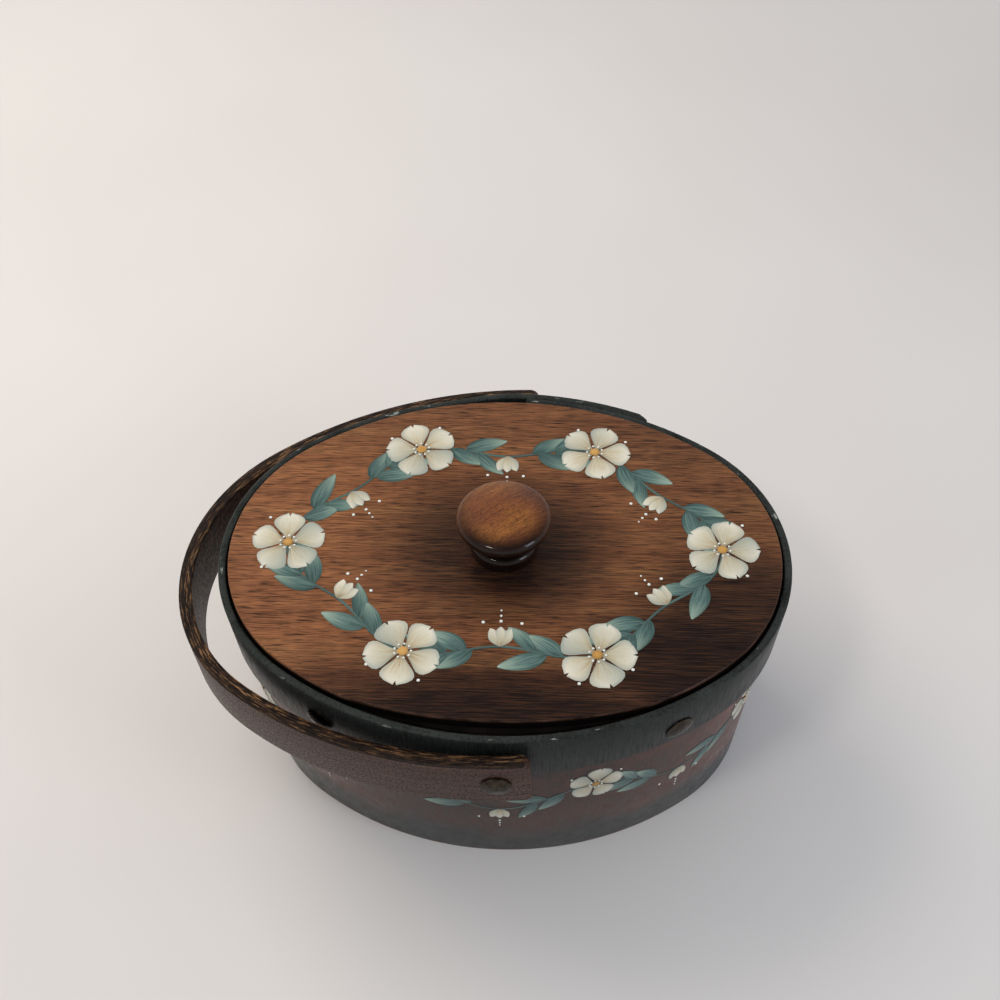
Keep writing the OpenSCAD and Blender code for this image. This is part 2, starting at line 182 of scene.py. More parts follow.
def flatStrip(low, high, edge, corner=0.0, ring=False, step=2.5 * mm):
    # a strip between two corners with rounded edges, cut along its length so that it can bend
    # a ring has open ends, which meet when it is bent round
    bm = bmesh.new()
    size = [h - l for l, h in zip(low, high)]
    middle = [(h + l) / 2 for l, h in zip(low, high)]
    bmesh.ops.create_cube(bm, size=1, matrix=Matrix.Translation(middle) @ Matrix.Diagonal(size + [1]))
    if corner:
        across = [e for e in bm.edges if abs((e.verts[0].co - e.verts[1].co).y) > size[1] / 2]
        bmesh.ops.bevel(bm, geom=across, offset=corner, segments=8, profile=0.5, affect="EDGES",
                        material=-1)
    rims = [e for e in bm.edges if abs((e.verts[0].co - e.verts[1].co).y) < size[1] / 2]
    if ring:
        rims = [e for e in rims if abs((e.verts[0].co - e.verts[1].co).x) > size[0] / 2]
    bmesh.ops.bevel(bm, geom=rims, offset=edge, segments=3, profile=0.5, affect="EDGES", material=-1)
    if ring:
        ends = [f for f in bm.faces if abs(f.normal.x) > 0.9]
        bmesh.ops.delete(bm, geom=ends, context="FACES_ONLY")
    cuts = int(size[0] / step)
    for i in range(1, cuts):
        place = (low[0] + size[0] * i / cuts, 0, 0)
        geom = bm.verts[:] + bm.edges[:] + bm.faces[:]
        bmesh.ops.bisect_plane(bm, geom=geom, dist=1e-7, plane_co=place, plane_no=(1, 0, 0))
    return bm


def addPiece(bm, name, materials, body, replaced=()):
    # a finished mesh that rides on a body and stands for its CAD nodes
    mesh = bpy.data.meshes.new(name)
    bm.to_mesh(mesh)
    bm.free()
    mesh.shade_smooth()
    mesh.set_sharp_from_angle(angle=sharpAngle)
    for material in materials:
        mesh.materials.append(material)
    piece = bpy.data.objects.new(name, mesh)
    scene.collection.objects.link(piece)
    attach(piece, body)
    if replaced:
        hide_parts(*replaced)
    return piece


# Camera, at the photograph's place: sizes in mm, angles in degrees
view = {"place": (17.9, -387.6, 600.3), "down": 49.26, "turn": 2.84, "roll": -1.17, "lens": 50.4}
cameraData = bpy.data.cameras.new("camera")
cameraData.lens = view["lens"]
cameraData.sensor_width = 36
cameraData.clip_start = 10 * mm
camera = bpy.data.objects.new("camera", cameraData)
scene.collection.objects.link(camera)
camera.matrix_world = (
    Matrix.Translation([c * mm for c in view["place"]])
    @ Matrix.Rotation(math.radians(view["turn"]), 4, "Z")
    @ Matrix.Rotation(math.radians(90 - view["down"]), 4, "X")
    @ Matrix.Rotation(math.radians(view["roll"]), 4, "Z")
)
scene.camera = camera
print("camera placed")


# Plain inner wood, sealed but not stained: pale brown with soft grain, matt
# its pores are drawn coarser than real ones, so that they show
def sealedWood(name, bandSize, streakSize, poreSize):
    material, tree = newMaterial(name)
    bands = grain(tree, "object", bandSize, 3, 0.3, 0.7)
    streaks = grain(tree, "object", streakSize, 4, 0.4, 0.7)
    tone = addNode(tree, "ValToRGB", {"stops": [(0.0, "#84603f"), (1.0, "#a9855b")]}, {"Fac": bands})
    dressSurface(tree, {
        "Base Color": stainLayers(tree, tone, [
            (grain(tree, "object", streakSize, 4, 0.4, 0.7, 0.5), "#67452a"),
            (grain(tree, "object", poreSize, 2, 0.55, 0.68, 0.6), "#4b2f1c"),
        ]),
        "Roughness": addNode(tree, "MapRange", {}, {"Value": streaks, "To Min": 0.5, "To Max": 0.65}),
        "Normal": addNode(tree, "Bump", {}, {"Height": streaks, "Distance": -0.04 * mm}),
    })
    return material


# Near-black colour on the bare wood where the lid sits, painted shade for the gap round the lid: almost
# black, matt, the grain just showing
def gapShadeWood():
    material, tree = newMaterial("near-black painted shade wood")
    streaks = grain(tree, "object", (14, 14, 1.0), 4, 0.35, 0.68)
    tone = addNode(tree, "ValToRGB", {"stops": [(0.0, "#080605"), (1.0, "#17100d")]}, {"Fac": streaks})
    dressSurface(tree, {
        "Base Color": tone,
        "Roughness": addNode(tree, "MapRange", {}, {"Value": streaks, "To Min": 0.5, "To Max": 0.7}),
        "Specular IOR Level": 0.15,
        "Normal": addNode(tree, "Bump", {}, {"Height": streaks, "Distance": -0.03 * mm}),
    })
    return material


innerFinish = sealedWood("sealed inner board", (120, 9, 9), (30, 1.4, 1.4), (6, 0.6, 0.6))
innerBentFinish = sealedWood("sealed inner wall", (120, 120, 9), (30, 30, 1.4), (6, 6, 0.6))
gapShadeFinish = gapShadeWood()


# The wall: a leaning band, stained outside and plain inside
wallLook = {"thickness": 3 * mm, "edge": 0.5 * mm, "topBand": 1 * mm, "outerBand": 0.4 * mm,
            "floorBorder": 27 * mm, "hoopBorder": 88 * mm, "borderBlur": 12 * mm, "borderWander": 14 * mm}
hoopLook = {"thickness": 3.4 * mm, "edge": 0.7 * mm, "innerEnd": 8 * mm, "outerEnd": 68 * mm,
            "ramp": 46 * mm, "lapClearance": 0.02 * mm, "bevel": 4 * mm, "bevelDepth": 0.8}


# Sponged stain under varnish: red-brown with dark streaks, a grey-green border at the floor and at the hoop
def mottledStain():
    material, tree = newMaterial("mottled stain under varnish")
    regions = grain(tree, "object", (70, 70, 40), 3, 0.35, 0.65)
    sponge = grain(tree, "object", (5, 5, 6), 5, 0.35, 0.7)
    lines = grain(tree, "object", (0.8, 0.8, 8), 4, 0.5, 0.66)
    # greyer at front and back, redder round the ends
    place = addNode(tree, "SeparateXYZ", {}, {0: addNode(tree, "TexCoord").outputs["Object"]})
    height = place.outputs["Z"]
    fromMiddle = addNode(tree, "Math", {"operation": "ABSOLUTE"}, {0: place.outputs["X"]})
    toEnds = addNode(tree, "MapRange", {}, {
        "Value": fromMiddle, "From Min": 40 * mm, "From Max": 105 * mm, "To Max": 0.65})
    redness = addNode(tree, "Math", {"operation": "MULTIPLY_ADD"}, {0: regions, 1: 0.35, 2: toEnds})
    tone = addNode(tree, "ValToRGB", {"stops": [(0.0, "#2f2926"), (0.4, "#4a3028"), (1.0, "#754a3f")]},
                   {"Fac": redness})
    wander = grain(tree, "object", (26, 26, 26), 4, 0.2, 0.8)
    uneven = addNode(tree, "Math", {"operation": "MULTIPLY_ADD"}, {
        0: wander, 1: wallLook["borderWander"], 2: height})
    blur = wallLook["borderBlur"] / 2
    floorBand = addNode(tree, "MapRange", {}, {
        "Value": uneven, "From Min": wallLook["floorBorder"] - blur,
        "From Max": wallLook["floorBorder"] + blur, "To Min": 1.0, "To Max": 0.0})
    hoopBand = addNode(tree, "MapRange", {}, {
        "Value": uneven, "From Min": wallLook["hoopBorder"] - blur,
        "From Max": wallLook["hoopBorder"] + blur})
    border = addNode(tree, "Math", {"operation": "MAXIMUM"}, {0: floorBand, 1: hoopBand})
    paint = addNode(tree, "ValToRGB", {"stops": [(0.0, "#1a1d1c"), (1.0, "#303432")]}, {"Fac": sponge})
    rubbed = addNode(tree, "MapRange", {}, {
        "Value": height, "From Min": 0.6 * mm, "From Max": 2.2 * mm, "To Min": 1.0, "To Max": 0.0})
    chips = addNode(tree, "Math", {"operation": "MULTIPLY"}, {
        0: rubbed, 1: grain(tree, "object", (5, 5, 2), 3, 0.45, 0.6)})
    dressSurface(tree, {
        "Base Color": stainLayers(tree, tone, [
            (grain(tree, "object", (20, 20, 13), 5, 0.35, 0.7, 0.5), "#221b19"),
            (grain(tree, "object", (5, 5, 6), 5, 0.42, 0.7, 0.35), "#74493d"),
            (grain(tree, "object", (0.6, 0.6, 6), 4, 0.48, 0.64, 0.5), "#1a100d"),
            (border, paint),
            (chips, "#5a2f22"),
        ]),
        "Roughness": addNode(tree, "MapRange", {}, {"Value": sponge, "To Min": 0.28, "To Max": 0.44}),
        "Specular IOR Level": 0.25,
        "Coat Weight": 0.12,
        "Coat Roughness": 0.12,
        "Normal": addNode(tree, "Bump", {}, {"Height": lines, "Distance": 0.03 * mm}),
    })
    return material


lean = (hoopHigh.x - hoopLook["thickness"] - wallHigh.x) / (bodyHeight - wallHigh.z)
perimeter = ovalLength(bodyOval)
wall = flatStrip((0, -hoopLook["thickness"] - wallLook["thickness"], 0),
                 (perimeter, -hoopLook["thickness"], wallHigh.z), wallLook["edge"], ring=True)
bendRound(wall, bodyOval, lean)
bmesh.ops.remove_doubles(wall, verts=wall.verts, dist=mergeDistance)
flat = wall.verts.layers.float_vector["flat"]
for face in wall.faces:
    if min(v[flat].z for v in face.verts) > wallHigh.z - wallLook["topBand"]:
        # the wall's top edge, in the gap under the lid, takes the near-black painted shade
        face.material_index = 2
    elif max(v[flat].y for v in face.verts) < -hoopLook["thickness"] - wallLook["outerBand"]:
        face.material_index = 1
wallFinishes = [mottledStain(), innerBentFinish, gapShadeFinish]
addPiece(wall, "bent_wall", wallFinishes, "bucket", ["body_wall"])
print("wall bent")


# The hoop: a band that comes round to lie on its own inner end
# Brushed dark paint: near-black grey-green with fine upright brush marks, worn grey along the top edge
def hoopPaint():
    material, tree = newMaterial("brushed dark paint")
    mottle = grain(tree, "flat", (16, 16, 16), 4, 0.3, 0.7)
    brushed = grain(tree, "flat", (0.9, 3, 12), 4, 0.4, 0.66)
    tone = addNode(tree, "ValToRGB", {"stops": [(0.0, "#161918"), (1.0, "#232726")]}, {"Fac": mottle})
    height = addNode(tree, "SeparateXYZ", {}, {0: addNode(
        tree, "Attribute", {"attribute_name": "flat"}).outputs["Vector"]}).outputs["Z"]
    edge = addNode(tree, "MapRange", {}, {
        "Value": height, "From Min": bodyHeight - 1.1 * mm, "From Max": bodyHeight - 0.2 * mm})
    paleTopEdge = addNode(tree, "Math", {"operation": "MULTIPLY"}, {
        0: edge, 1: addNode(tree, "MapRange", {}, {"Value": mottle, "To Min": 0.1, "To Max": 0.6})})
    chipped = addNode(tree, "Math", {"operation": "MULTIPLY"}, {
        0: edge, 1: grain(tree, "flat", (10, 3, 3), 3, 0.67, 0.72, shift=(5, 0, 0))})
    dressSurface(tree, {
        "Base Color": stainLayers(tree, tone, [
            (grain(tree, "flat", (0.7, 3, 9), 4, 0.45, 0.66, 0.6), "#313634"),
            (grain(tree, "flat", (0.5, 3, 4), 3, 0.56, 0.64, 0.7), "#070908"),
            (paleTopEdge, "#3c4240"),
            (grain(tree, "flat", (1.2, 1.2, 1.2), 3, 0.5, 0.64, 0.5), "#0d0f0e"),
            (chipped, "#8c948e"),
        ]),
        "Roughness": addNode(tree, "MapRange", {}, {"Value": brushed, "To Min": 0.3, "To Max": 0.46}),
        "Specular IOR Level": 0.16,
        "Normal": addNode(tree, "Bump", {}, {"Height": brushed, "Distance": 0.05 * mm}),
    })
    return material


def lapLift(along):
    # how far the band has left the wall on its way over its own inner end
    t = (along - perimeter - hoopLook["innerEnd"] + hoopLook["ramp"]) / hoopLook["ramp"]
    t = min(max(t, 0), 1)
    ease = 2 * t * t if t < 0.5 else 1 - 2 * (1 - t) * (1 - t)
    return ease * (hoopLook["thickness"] + hoopLook["lapClearance"])


hoop = flatStrip((hoopLook["innerEnd"], -hoopLook["thickness"], hoopLow.z),
                 (perimeter + hoopLook["outerEnd"], 0, hoopHigh.z), hoopLook["edge"])
bevelStart = perimeter + hoopLook["outerEnd"] - hoopLook["bevel"]
for vert in hoop.verts:
    if vert.co.x > bevelStart:
        thinned = hoopLook["bevelDepth"] * (vert.co.x - bevelStart) / hoopLook["bevel"]
        vert.co.y -= (vert.co.y + hoopLook["thickness"]) * thinned
bendRound(hoop, bodyOval, lean, lapLift)
addPiece(hoop, "rim_band", [hoopPaint()], "bucket", ["rim_hoop"])
print("hoop bent")


# The strap: bent to its own oval, tilted about the pivots
strapLook = {"width": 27 * mm, "thickness": 6.2 * mm, "end": 14.5 * mm, "corner": 4 * mm,
             "edge": 0.7 * mm, "tilt": math.radians(4), "glueLine": 2.4 * mm}
strapHalf = strapLook["width"] / 2
strapOval = {
    "halfLength": (-strapLow.x - strapHalf * math.sin(strapLook["tilt"])) / math.cos(strapLook["tilt"]),
    "halfDepth": (strapHigh.y - strapLow.y) / 2,
    "shift": (strapHigh.y + strapLow.y) / 2,
}


# Bent two-ply wood: dark pebbled stain on the faces, rough golden-brown edges with a dark glue line
def bentPly():
    material, tree = newMaterial("bent two-ply wood")
    pebbles = grain(tree, "flat", (1.1, 1.1, 1.1), 3, 0.38, 0.62)
    along = grain(tree, "flat", (45, 2, 2.2), 4, 0.35, 0.68)
    fibres = grain(tree, "flat", (7, 0.55, 2), 3, 0.42, 0.62)
    golden = grain(tree, "flat", (60, 20, 60), 2, 0.4, 0.6)
    face = addNode(tree, "ValToRGB", {"stops": [(0.0, "#38231b"), (1.0, "#553a2e")]}, {"Fac": along})
    place = addNode(tree, "SeparateXYZ", {}, {0: addNode(
        tree, "Attribute", {"attribute_name": "flat"}).outputs["Vector"]})
    fromMiddle = addNode(tree, "Math", {"operation": "ABSOLUTE"}, {0: place.outputs["Z"]})
    onEdge = addNode(tree, "MapRange", {}, {
        "Value": fromMiddle, "From Min": strapHalf - 0.75 * mm, "From Max": strapHalf - 0.45 * mm})
    waver = grain(tree, "flat", (30, 30, 30), 2, 0.2, 0.8, 0.9 * mm)
    offGlue = addNode(tree, "Math", {"operation": "ADD"}, {
        0: place.outputs["Y"], 1: strapLook["glueLine"]})
    offGlue = addNode(tree, "Math", {"operation": "SUBTRACT"}, {0: offGlue, 1: waver})
    offGlue = addNode(tree, "Math", {"operation": "ABSOLUTE"}, {0: offGlue})
    glue = addNode(tree, "MapRange", {}, {
        "Value": offGlue, "From Min": 0.2 * mm, "From Max": 0.6 * mm, "To Min": 0.8, "To Max": 0.0})
    border = addNode(tree, "MapRange", {}, {
        "Value": place.outputs["Y"], "From Min": -1.5 * mm, "From Max": -0.4 * mm, "To Max": 0.8})
    shine = addNode(tree, "MapRange", {}, {"Value": golden, "To Min": 0.75, "To Max": 1.0})
    lit = addNode(tree, "Math", {"operation": "MULTIPLY"}, {0: fibres, 1: shine})
    edgeTone = addNode(tree, "ValToRGB", {
        "stops": [(0.0, "#100a07"), (0.5, "#382518"), (1.0, "#83613e")]}, {"Fac": lit})
    edgeColour = stainLayers(tree, edgeTone, [
        (glue, "#150d09"),
        (border, "#1c0f0a"),
        (grain(tree, "flat", (3, 0.5, 2), 2, 0.52, 0.6, 0.8), "#0c0705"),
    ])
    dressSurface(tree, {
        "Base Color": stainLayers(tree, face, [
            (grain(tree, "flat", (1.1, 1.1, 1.1), 3, 0.47, 0.6, 0.75), "#120b08"),
            # small pale specks on the pebbled face: painted highlights on the grain
            (grain(tree, "flat", (0.8, 0.8, 0.8), 2, 0.58, 0.68, 0.4), "#6b4c3e"),
            (onEdge, edgeColour),
        ]),
        "Roughness": addNode(tree, "MapRange", {}, {"Value": pebbles, "To Min": 0.36, "To Max": 0.54}),
        "Specular IOR Level": 0.28,
        "Coat Weight": 0.05,
        "Coat Roughness": 0.25,
        "Normal": addNode(tree, "Bump", {}, {"Height": pebbles, "Distance": 0.09 * mm}),
    })
    return material


pivotHeight = (pivotLow.z + pivotHigh.z) / 2
strapLine = ovalLength(strapOval)
strapStart = strapLine / 2
strap = flatStrip((strapStart - strapLook["end"], -strapLook["thickness"], -strapHalf),
                  (strapLine + strapLook["end"], 0, strapHalf), strapLook["edge"], strapLook["corner"])
bendRound(strap, strapOval)
tilt = Matrix.Translation((0, 0, pivotHeight)) @ Matrix.Rotation(-strapLook["tilt"], 4, "Y")
bmesh.ops.transform(strap, matrix=tilt, verts=strap.verts)
addPiece(strap, "handle_band", [bentPly()], "handle", ["handle_strap"])
print("strap bent")


# The lid: one outline turned through the oval's arcs, trimmed flatter at the front, filled and raised
lidOval = {"halfLength": lidHigh.x, "halfDepth": lidHigh.y, "shift": 0.0}
lidLook = {
    "edge": 0.6 * mm, "frontRadius": 210 * mm, "step": 2 * mm,
    # dark spots: x and y of the middle, half length and half depth in mm, and strength
    "darkSpots": [
        (0, 2, 84, 66, 0.9), (0, -12, 38, 28, 1.0), (0, -93, 175, 58, 1.0), (88, -60, 94, 68, 1.0),
        (104, -34, 78, 62, 0.93), (100, 7, 70, 80, 0.4), (-30, 77, 120, 40, 0.3), (60, 62, 90, 56, 0.4),
    ],
}


# Stained veneer under satin varnish: fine dark grain along the board, darkened round the knob and to the
# front, with a painted highlight along the corner of its edge and painted shade on its side below
def stainedVeneer():
    material, tree = newMaterial("stained veneer")
    bands = grain(tree, "object", (200, 9, 9), 4, 0.3, 0.7)
    streaks = grain(tree, "object", (18, 0.34, 0.34), 4, 0.42, 0.62)
    pores = grain(tree, "object", (9, 0.28, 0.28), 1, 0.55, 0.63)
    tone = addNode(tree, "ValToRGB", {"stops": [(0.0, "#845234"), (0.5, "#9b6540"), (1.0, "#ae794d")]},
                   {"Fac": bands})
    # darker in soft spots round the knob, to the front and to the right
    darkSpots = None
    for x, y, wide, deep, strength in lidLook["darkSpots"]:
        spot = addNode(tree, "TexGradient", {"gradient_type": "SPHERICAL"}, {
            "Vector": patternSpace(tree, "object", (wide, deep, 500), (-x, -y, -lidHigh.z / mm))})
        soft = addNode(tree, "MapRange", {"interpolation_type": "SMOOTHSTEP"}, {
            "Value": spot, "From Max": 0.75, "To Max": strength})
        if darkSpots is None:
            darkSpots = soft
        else:
            darkSpots = addNode(tree, "Math", {"operation": "MAXIMUM"}, {0: darkSpots, 1: soft})
    fibrous = addNode(tree, "MapRange", {}, {"Value": streaks, "To Min": 0.86, "To Max": 1.08})
    darkSpots = addNode(tree, "Math", {"operation": "MULTIPLY", "use_clamp": True}, {0: darkSpots, 1: fibrous})
    place = addNode(tree, "SeparateXYZ", {}, {0: addNode(tree, "TexCoord").outputs["Object"]})
    height = place.outputs["Z"]
    # painted highlight: the rounded corner of the top edge is paler
    corner = addNode(tree, "MapRange", {}, {
        "Value": height, "From Min": lidHigh.z - 0.45 * mm, "From Max": lidHigh.z - 0.1 * mm,
        "To Min": 1.0, "To Max": 0.0})
    paleTopEdge = addNode(tree, "Math", {"operation": "MULTIPLY"}, {
        0: corner, 1: grain(tree, "object", (9, 9, 9), 3, 0.35, 0.65, 0.6)})
    # painted shade on the lid's side below the edge, in the gap round the lid
    paintedSideShade = addNode(tree, "MapRange", {}, {
        "Value": height, "From Min": lidHigh.z - 2.0 * mm, "From Max": lidHigh.z - 1.1 * mm,
        "To Min": 1.0, "To Max": 0.0})
    dressSurface(tree, {
        "Base Color": stainLayers(tree, tone, [
            (grain(tree, "object", (70, 2.4, 2.4), 4, 0.42, 0.68, 0.36), "#663d24"),
            (grain(tree, "object", (18, 0.34, 0.34), 4, 0.42, 0.62, 0.5), "#4f2e1a"),
            (grain(tree, "object", (45, 0.4, 0.4), 3, 0.5, 0.62, 0.4), "#43261a"),
            # faint pale ripples across the grain: a painted sheen of the wood's figure
            (grain(tree, "object", (6, 40, 40), 2, 0.4, 0.7, 0.12), "#b07c50"),
            (darkSpots, "#130909"),
            (grain(tree, "object", (9, 0.28, 0.28), 1, 0.55, 0.63, 0.85), "#1a0e09"),
            # painted highlight on the edge's corner
            (paleTopEdge, "#7d5c4a"),
            # painted shade on the side
            (paintedSideShade, "#0b0706"),
        ]),
        "Roughness": addNode(tree, "MapRange", {}, {"Value": streaks, "To Min": 0.34, "To Max": 0.48}),
        "Specular IOR Level": 0.2,
        "Coat Weight": 0.08,
        "Coat Roughness": 0.18,
        "Normal": addNode(tree, "Bump", {}, {
            "Height": addNode(tree, "Math", {"operation": "ADD"}, {0: streaks, 1: pores}),
            "Distance": -0.04 * mm}),
    })
    return material


lid = bmesh.new()
corner, _ = onOval(lidOval, 0, 0)
last = [lid.verts.new(corner + Vector((0, 0, lidLow.z)))]
for x, y, radius, _, turn in ovalArcs(lidOval):
    swept = bmesh.ops.spin(lid, geom=last, cent=(x, y + lidOval["shift"], 0), axis=(0, 0, 1),
                           angle=-turn, steps=int(turn * radius / lidLook["step"]))
    last = [g for g in swept["geom_last"] if isinstance(g, bmesh.types.BMVert)]
bmesh.ops.remove_doubles(lid, verts=lid.verts, dist=10 * mergeDistance)
frontRadius = lidLook["frontRadius"]
for vert in lid.verts:
    trimmed = lidLow.y + frontRadius - math.sqrt(frontRadius ** 2 - vert.co.x ** 2)
    vert.co.y = max(vert.co.y, trimmed)
board = bmesh.ops.contextual_create(lid, geom=lid.edges)["faces"]
raised = bmesh.ops.extrude_face_region(lid, geom=board)
bmesh.ops.translate(lid, vec=(0, 0, lidHigh.z - lidLow.z),
                    verts=[g for g in raised["geom"] if isinstance(g, bmesh.types.BMVert)])
bmesh.ops.recalc_face_normals(lid, faces=lid.faces)
rims = [e for e in lid.edges if abs(e.verts[0].co.z - e.verts[1].co.z) < mergeDistance]
bmesh.ops.bevel(lid, geom=rims, offset=lidLook["edge"], segments=4, profile=0.5, affect="EDGES",
                material=-1)
for face in lid.faces:
    if face.normal.z < -0.5:
        face.material_index = 1
addPiece(lid, "lid_panel", [stainedVeneer(), innerFinish], "lid", ["lid_board"])
print("lid cut")


# The knob: half an outline in arcs, turned on the lathe
knobLook = {"edgeRadius": 3.5 * mm, "dome": 6.5 * mm, "bead": 31 * mm, "beadHeight": 6 * mm,
            "ringHeight": 1.6 * mm, "ringInset": 0.5 * mm, "ringEdge": 0.4 * mm}


# Turned hardwood under gloss varnish: short dark flecks across the head, deep brown at its rim and foot from
# stain and painted shade, the rim's painted shade deepest at the front
def turnedHardwood():
    material, tree = newMaterial("turned hardwood")
    aslant = (0, 0, 38)
    flecks = grain(tree, "object", (1.7, 0.34, 1.7), 3, 0.42, 0.6, turn=aslant)
    broad = grain(tree, "object", (30, 14, 30), 2, 0.35, 0.65, turn=aslant)
    tone = addNode(tree, "ValToRGB", {"stops": [(0.0, "#6e432f"), (0.5, "#825030"), (1.0, "#996334")]},
                   {"Fac": broad})
    place = addNode(tree, "SeparateXYZ", {}, {0: addNode(tree, "TexCoord").outputs["Object"]})
    height = place.outputs["Z"]
    # painted shade: the rim darkens more towards the front
    shadeTowardFront = addNode(tree, "MapRange", {}, {
        "Value": place.outputs["Y"], "From Min": knobLow.y + 6 * mm, "From Max": knobHigh.y - 10 * mm,
        "To Min": 0.97, "To Max": 0.3})
    rim = addNode(tree, "MapRange", {"interpolation_type": "SMOOTHSTEP"}, {
        "Value": height, "From Min": knobHigh.z - 3.6 * mm, "From Max": knobHigh.z - 1.0 * mm,
        "To Min": 1.0, "To Max": 0.0})
    rimStainAndShade = addNode(tree, "Math", {"operation": "MULTIPLY"}, {0: rim, 1: shadeTowardFront})
    # the foot under the head is darker, partly stain and partly painted shade
    footStainAndShade = addNode(tree, "MapRange", {"interpolation_type": "SMOOTHSTEP"}, {
        "Value": height, "From Min": knobLow.z + 13 * mm, "From Max": knobLow.z + 18 * mm,
        "To Min": 0.7, "To Max": 0.0})
    dressSurface(tree, {
        "Base Color": stainLayers(tree, tone, [
            (grain(tree, "object", (1.7, 0.34, 1.7), 3, 0.42, 0.6, 0.65, turn=aslant), "#452616"),
            (grain(tree, "object", (12, 0.8, 12), 3, 0.5, 0.68, 0.4, turn=aslant), "#3a2118"),
            (rimStainAndShade, "#140806"),
            (footStainAndShade, "#120907"),
        ]),
        "Roughness": addNode(tree, "MapRange", {}, {"Value": flecks, "To Min": 0.26, "To Max": 0.4}),
        "Specular IOR Level": 0.12,
        "Coat Weight": 0.4,
        "Coat Roughness": 0.06,
        "Normal": addNode(tree, "Bump", {}, {"Height": flecks, "Distance": -0.02 * mm}),
    })
    return material


def arc(x, z, radius, start, end, steps):
    # points on an arc between two angles in degrees
    angles = [math.radians(start + (end - start) * i / steps) for i in range(steps + 1)]
    return [(x + radius * math.cos(a), z + radius * math.sin(a)) for a in angles]


headZ = knobHigh.z - knobLow.z - knobLook["dome"]
edgeX = knobHigh.x - knobLook["edgeRadius"]
domeRise = knobLook["dome"] - knobLook["edgeRadius"]
domeDrop = (edgeX ** 2 - domeRise ** 2) / (2 * domeRise)
domeAngle = math.degrees(math.atan2(domeDrop, edgeX))
beadRadius = knobLook["beadHeight"] / 2
beadX = knobLook["bead"] / 2 - beadRadius
beadTop = knobLook["ringHeight"] + knobLook["beadHeight"]
coveRadius = (headZ - knobLook["edgeRadius"] - beadTop) / 2
ringX = knobLook["bead"] / 2 - knobLook["ringInset"]
ringEdge = knobLook["ringEdge"]
beadEnd = -math.degrees(math.acos((ringX - beadX) / beadRadius))
outline = arc(0, headZ - domeDrop, knobLook["dome"] + domeDrop, 90, domeAngle, 14)
outline += arc(edgeX, headZ, knobLook["edgeRadius"], domeAngle, -90, 24)[1:]
outline += arc(beadX, beadTop + coveRadius, coveRadius, 90, 270, 20)
outline += arc(beadX, knobLook["ringHeight"] + beadRadius, beadRadius, 90, beadEnd, 16)[1:]
outline += arc(ringX - ringEdge, ringEdge, ringEdge, 0, -90, 4)
outline += [(0, 0)]
knob = bmesh.new()
knobY = (knobHigh.y + knobLow.y) / 2
chain = [knob.verts.new((x, knobY, knobLow.z + z)) for x, z in outline]
edges = [knob.edges.new(pair) for pair in zip(chain, chain[1:])]
bmesh.ops.spin(knob, geom=chain + edges, cent=(0, knobY, 0), axis=(0, 0, 1), angle=math.tau, steps=120,
               use_merge=True)
bmesh.ops.remove_doubles(knob, verts=knob.verts, dist=mergeDistance)
bmesh.ops.recalc_face_normals(knob, faces=knob.faces)
addPiece(knob, "turned_knob", [turnedHardwood()], "lid", ["lid_knob"])
print("knob turned")


# Painted garlands: strokes of a brush on the lid and round the wall
paintLook = {
    "crown": 0.12 * mm, "film": 0.3 * mm, "lift": 0.08 * mm, "layer": 0.05 * mm, "dotHeight": 0.3 * mm,
    "bluntEnd": 0.1, "uneven": (0.92, 1.08), "tilt": (-15, 15),
    # layers of paint, counted up from the wood
    "leafLayer": 1, "petalLayer": 2, "heartLayer": 8,
    # strokes: a belly above 1 is widest beyond the middle, curl and notch are shares of the length
    "petals": 5, "petalBelly": 1.75, "petalNotch": 0.14, "budFan": (-34, 34, 0), "budBelly": 1.25,
    "budCurlPerDegree": -0.004, "leafBelly": 0.85, "leafCurl": -0.16,
    # places as shares of the heart's radius, the bud's length and the petal's length
    "petalRoot": 0.6, "antherRing": 1.55, "budDotAway": 1.3, "budDotStep": 0.28, "dotAway": 0.85,
    # how many dots, with sizes as shares of the garland's own
    "anthers": 9, "antherSize": 0.75, "budDots": 3, "budDotShrink": 0.2,
}
lidGarland = {
    "inset": 31 * mm, "waves": 6, "swing": 5 * mm, "stem": 1.3 * mm, "petal": (15.5 * mm, 14.5 * mm),
    "bud": (10 * mm, 5 * mm), "leaf": (21 * mm, 8.5 * mm), "heart": 2.3 * mm, "dot": 0.75 * mm,
}
wallGarland = {
    "height": 53 * mm, "waves": 8, "swing": 8 * mm, "stem": 1.2 * mm, "petal": (12 * mm, 11 * mm),
    "bud": (9 * mm, 4.5 * mm), "leaf": (18 * mm, 7.5 * mm), "heart": 1.9 * mm, "dot": 0.65 * mm,
}
# leaves on each wave: place on the wave, side of the stem, turn from the stem and size
leafPlan = [(0.02, 1, 34, 0.8), (0.03, -1, 46, 1.0), (0.42, -1, 34, 0.95), (0.5, 1, 40, 1.0),
            (0.56, -1, 42, 0.85), (0.9, 1, 30, 0.9), (0.93, -1, 48, 1.0)]
# dots on each wave: place on the wave and side of the stem
dotPlan = [(0.12, 1), (0.38, 1), (0.62, -1), (0.86, -1)]


